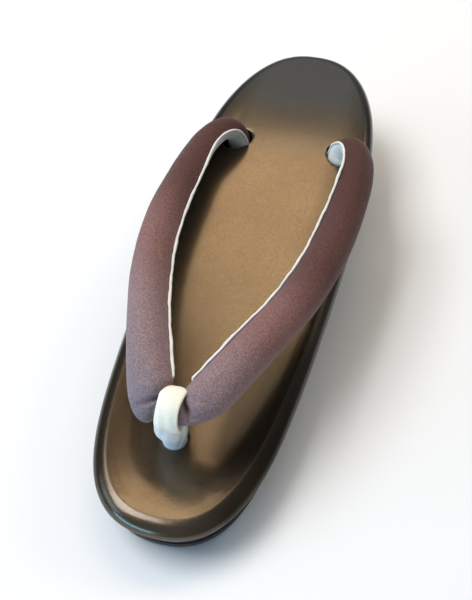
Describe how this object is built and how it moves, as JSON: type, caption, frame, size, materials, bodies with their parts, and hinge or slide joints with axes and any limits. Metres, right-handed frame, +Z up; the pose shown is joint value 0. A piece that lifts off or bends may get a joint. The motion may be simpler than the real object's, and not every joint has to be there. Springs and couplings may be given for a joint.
{
  "type": "zori sandal",
  "caption": "Zori sandal with a wedge footbed in satin bronze-brown skin, a thin dark outsole and a padded V strap held by a white velvet toe loop.",
  "frame": {"origin": "middle of the sole's length and width, on the plane the underside rests on", "axes": "+Z up, +Y towards the heel, -Y towards the toe, X across the sole"},
  "size_m": [0.0829, 0.24, 0.0547],
  "materials": {
    "outsole": "matte moulded sheet",
    "footbed_skin": "satin bronze-brown synthetic leather with a fine grain",
    "strap_fabric": "padded fabric shaded from burgundy brown at the heel to dusty mauve at the toe, white lining",
    "velvet": "off-white velvet"
  },
  "bodies": {
    "root": {"outsole": "outsole", "sole_body": "footbed_skin", "straps": "strap_fabric", "toe_loop": "velvet", "toe_post": "velvet"}
  },
  "joints": []
}
